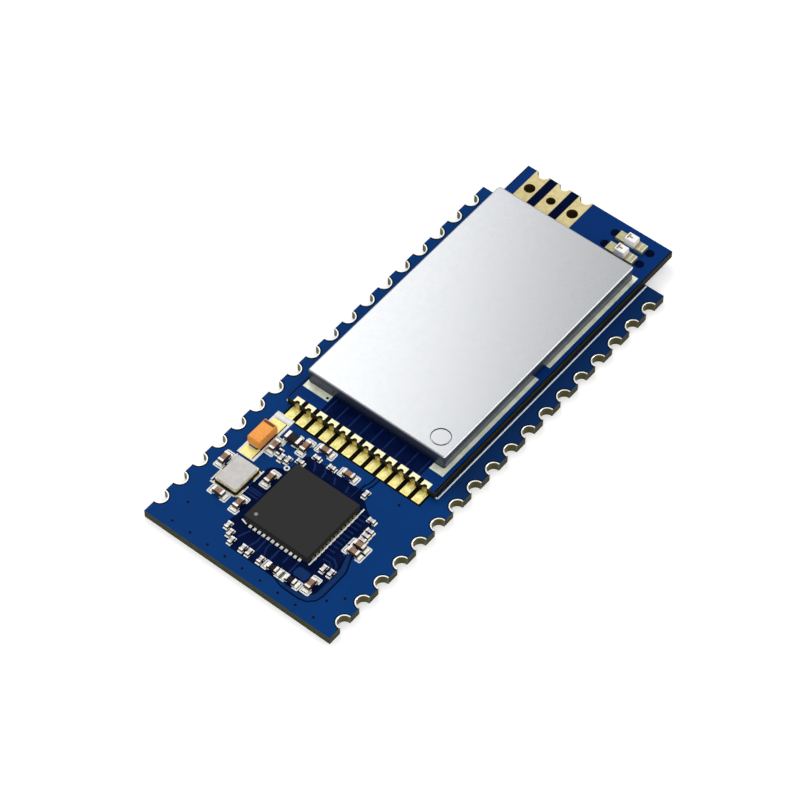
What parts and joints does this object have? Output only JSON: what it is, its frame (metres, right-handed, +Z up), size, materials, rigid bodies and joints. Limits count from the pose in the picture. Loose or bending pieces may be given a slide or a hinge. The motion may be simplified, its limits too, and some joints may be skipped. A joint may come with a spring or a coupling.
{
  "type": "ultra-wideband positioning module",
  "caption": "Flat positioning circuit module: a carrier board with plated half-round edges for soldering down, and a shielded radio board on top with antenna pads at its far end.",
  "frame": {"origin": "middle of the carrier board's flat solder face, between its two rows of half holes", "axes": "+X to the right across the board, +Y along the board to the antenna end, +Z up out of the component side"},
  "size_m": [0.0208, 0.0513, 0.0034],
  "materials": {
    "blue_mask_board": "semi-gloss solder mask over glass epoxy",
    "gold_plating": "bright gold over nickel and copper",
    "antenna_gold": "satin gold over nickel and copper",
    "solder": "bright solder",
    "tinned_copper": "satin tin",
    "tinned_lands": "bright tin",
    "black_epoxy": "moulded, matt",
    "black_glaze": "glazed",
    "dark_ferrite": "fired, matt",
    "dark_ceramic": "fired, matt",
    "nickel_lid": "nickel plated",
    "quartz": "polished",
    "orange_epoxy": "moulded, matt",
    "brown_ceramic": "fired, satin",
    "pale_ceramic": "fired, satin",
    "can_steel": "tinned sheet, satin",
    "white_laminate": "laminate",
    "lamp_resin": "diffusing resin"
  },
  "bodies": {
    "root": {"amplifier_body": "black_epoxy", "amplifier_terminals": "tinned_copper", "antenna_pads": "antenna_gold", "balun_body": "pale_ceramic", "balun_terminals": "tinned_copper", "capacitor_bodies": "brown_ceramic", "capacitor_end_caps": "tinned_copper", "carrier_board": "blue_mask_board", "carrier_half_holes_left": "gold_plating", "carrier_half_holes_right": "gold_plating", "chip_lands": "tinned_lands", "crystal_base": "dark_ceramic", "crystal_lands": "gold_plating", "crystal_lid": "nickel_lid", "crystal_seal_ring": "gold_plating", "crystal_terminals": "gold_plating", "ferrite_bead_bodies": "dark_ferrite", "ferrite_bead_end_caps": "tinned_copper", "inner_capacitor_bodies": "brown_ceramic", "inner_capacitor_end_caps": "tinned_copper", "lamp_bases": "white_laminate", "lamp_lenses": "lamp_resin", "lamp_terminals": "antenna_gold", "microcontroller_body": "black_epoxy", "microcontroller_lands": "tinned_lands", "microcontroller_terminals": "tinned_copper", "microcontroller_thermal_pad": "tinned_copper", "oscillator_base": "dark_ceramic", "oscillator_lid": "nickel_lid", "power_inductor_body": "dark_ferrite", "power_inductor_terminals": "tinned_copper", "quartz_blank": "quartz", "radio_board": "blue_mask_board", "radio_half_holes": "gold_plating", "radio_lands": "gold_plating", "resistor_bodies": "black_glaze", "resistor_end_caps": "tinned_copper", "shield_can": "can_steel", "shield_lands": "tinned_lands", "small_capacitor_bodies": "pale_ceramic", "small_capacitor_end_caps": "tinned_copper", "solder_fillets": "solder", "tantalum_body": "orange_epoxy", "tantalum_lands": "gold_plating", "tantalum_straps": "tinned_copper", "transceiver_body": "black_epoxy", "transceiver_terminals": "tinned_copper", "transceiver_thermal_pad": "tinned_copper"}
  },
  "joints": []
}
